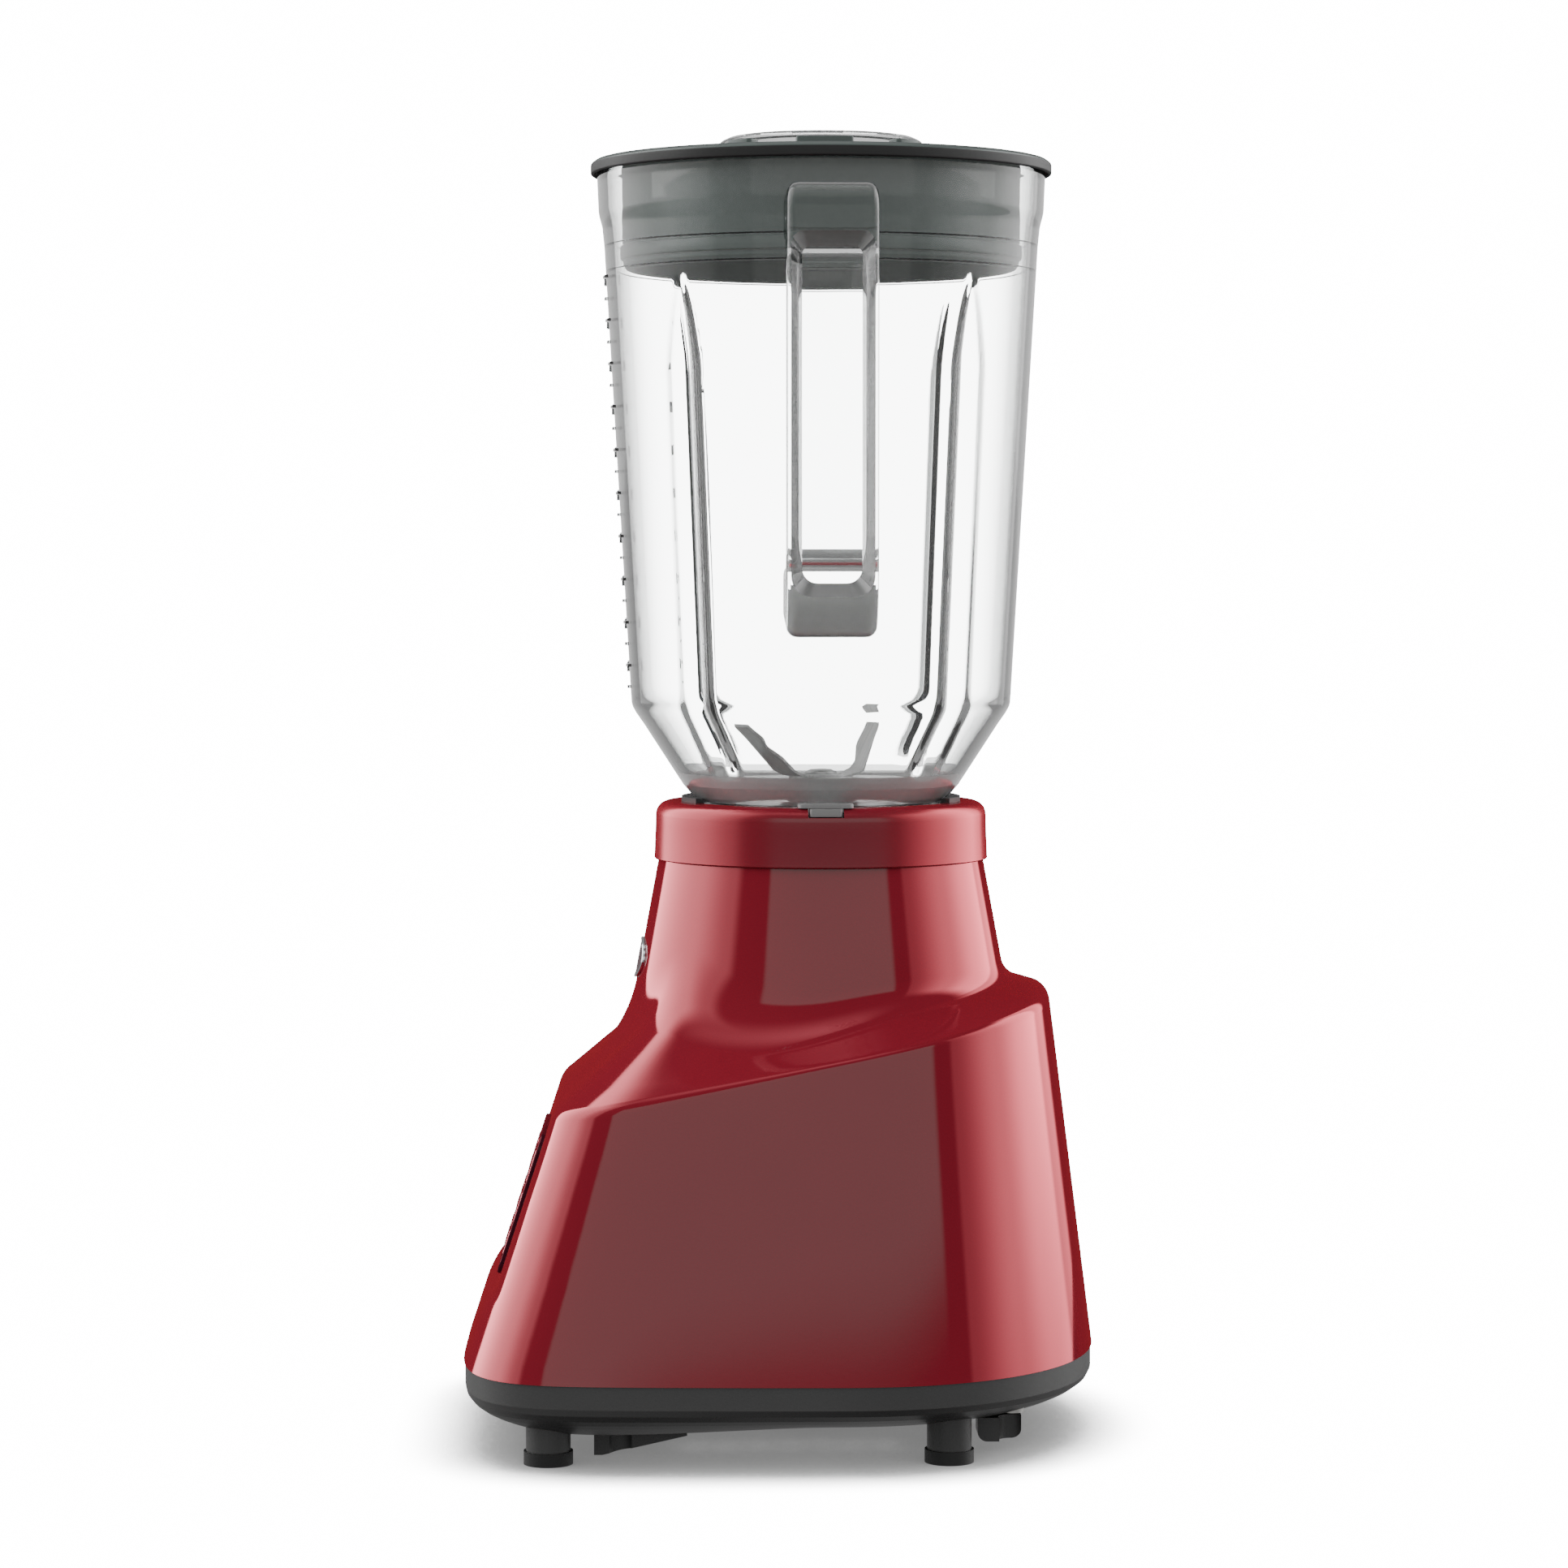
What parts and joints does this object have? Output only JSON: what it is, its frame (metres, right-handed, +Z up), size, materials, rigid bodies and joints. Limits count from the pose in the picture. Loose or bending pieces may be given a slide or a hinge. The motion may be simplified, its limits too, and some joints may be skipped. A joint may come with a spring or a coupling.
{
  "type": "countertop blender",
  "caption": "Countertop blender: flared red motor base with push-button panel, clear tapered jar with side handle, grey lid and clear measuring cap.",
  "frame": {"origin": "centre of the four rubber feet on the worktop plane", "axes": "+Z up along the drive axis, -Y towards the control panel, +X towards the jar handle"},
  "size_m": [0.2025, 0.1948, 0.4],
  "materials": {
    "base_red": "gloss red moulded plastic, light orange peel",
    "collar_red": "gloss red moulded plastic",
    "clear_jar": "clear moulded styrene, polished outside",
    "clear_cap": "clear moulded styrene",
    "lid_grey": "satin grey-green plastic",
    "seal_grey": "soft grey rubber",
    "seat_black": "black rubber",
    "deck_black": "fine-grained black plastic",
    "pan_grey": "satin dark grey plastic",
    "foot_rubber": "black rubber",
    "nut_grey": "satin grey plastic",
    "panel_dark": "dark gloss plastic",
    "button_dark": "dark gloss plastic with thin silver border",
    "badge_silver": "bright plated oval, blank",
    "steel": "polished stainless steel",
    "screw_steel": "zinc-plated steel",
    "lamination": "stacked electrical steel",
    "copper": "enamelled copper wire",
    "bronze": "sintered bronze",
    "cast_alloy": "die-cast alloy",
    "carbon": "pressed carbon",
    "board": "printed board",
    "fan_black": "moulded black plastic"
  },
  "bodies": {
    "base": {"base_housing": "base_red", "collar_ring": "collar_red", "seat_cushion": "seat_black", "seat_deck": "deck_black", "deck_screws": "screw_steel", "bottom_pan": "pan_grey", "rubber_feet": "foot_rubber", "pan_screws": "screw_steel", "cord_gland": "foot_rubber", "badge": "badge_silver", "control_panel": "panel_dark", "button_springs": "steel", "switch_board": "board", "stator_stack": "lamination", "field_coils": "copper", "upper_bracket": "cast_alloy", "lower_bracket": "cast_alloy", "upper_bearing": "steel", "lower_bearing": "steel", "brush_holders": "bronze", "carbon_brushes": "carbon", "brush_springs": "steel", "motor_mounts": "seat_black", "motor_screws": "screw_steel"},
    "motor_rotor": {"motor_shaft": "steel", "armature_core": "lamination", "armature_windings": "copper", "commutator": "copper", "cooling_fan": "fan_black", "drive_coupling": "deck_black"},
    "jar_unit": {"jar": "clear_jar", "jar_nut": "nut_grey", "jar_gasket": "seal_grey", "blade_holder": "nut_grey", "blade_bush": "bronze", "shaft_seal": "seat_black"},
    "blade_rotor": {"blade_shaft": "steel", "upper_blade": "steel", "lower_blade": "steel", "blade_washer": "steel", "blade_nut": "steel", "driven_coupling": "deck_black"},
    "lid_unit": {"lid": "lid_grey", "lid_seal": "seal_grey"},
    "cap_unit": {"measuring_cap": "clear_cap"},
    "button_1": {"push_button_1": "button_dark"},
    "button_2": {"push_button_2": "button_dark"},
    "button_3": {"push_button_3": "button_dark"},
    "button_4": {"push_button_4": "button_dark"},
    "button_5": {"push_button_5": "button_dark"},
    "button_6": {"push_button_6": "button_dark"}
  },
  "joints": [
    {"name": "motor_spin", "type": "hinge", "parent": "base", "child": "motor_rotor", "pos_m": [0, 0.0235, 0.1], "axis": [0, 0, 1], "continuous": true},
    {"name": "jar_lift", "type": "slide", "parent": "base", "child": "jar_unit", "axis": [0, 0, 1], "range_m": [0, 0.09]},
    {"name": "blade_spin", "type": "hinge", "parent": "jar_unit", "child": "blade_rotor", "pos_m": [0, 0.0235, 0.19], "axis": [0, 0, 1], "continuous": true},
    {"name": "lid_lift", "type": "slide", "parent": "jar_unit", "child": "lid_unit", "axis": [0, 0, 1], "range_m": [0, 0.07]},
    {"name": "cap_lift", "type": "slide", "parent": "lid_unit", "child": "cap_unit", "axis": [0, 0, 1], "range_m": [0, 0.045]},
    {"name": "button_1_press", "type": "slide", "parent": "base", "child": "button_1", "axis": [0, 0.951, -0.3091], "range_m": [0, 0.0015], "stiffness_N_per_m": 400, "springref_m": -0.002},
    {"name": "button_2_press", "type": "slide", "parent": "base", "child": "button_2", "axis": [0, 0.951, -0.3091], "range_m": [0, 0.0015], "stiffness_N_per_m": 400, "springref_m": -0.002},
    {"name": "button_3_press", "type": "slide", "parent": "base", "child": "button_3", "axis": [0, 0.951, -0.3091], "range_m": [0, 0.0015], "stiffness_N_per_m": 400, "springref_m": -0.002},
    {"name": "button_4_press", "type": "slide", "parent": "base", "child": "button_4", "axis": [0, 0.951, -0.3091], "range_m": [0, 0.0015], "stiffness_N_per_m": 400, "springref_m": -0.002},
    {"name": "button_5_press", "type": "slide", "parent": "base", "child": "button_5", "axis": [0, 0.951, -0.3091], "range_m": [0, 0.0015], "stiffness_N_per_m": 400, "springref_m": -0.002},
    {"name": "button_6_press", "type": "slide", "parent": "base", "child": "button_6", "axis": [0, 0.951, -0.3091], "range_m": [0, 0.0015], "stiffness_N_per_m": 400, "springref_m": -0.002}
  ],
  "couplings": [
    {"joint": "blade_spin", "follows": "motor_spin", "ratio": 1}
  ]
}
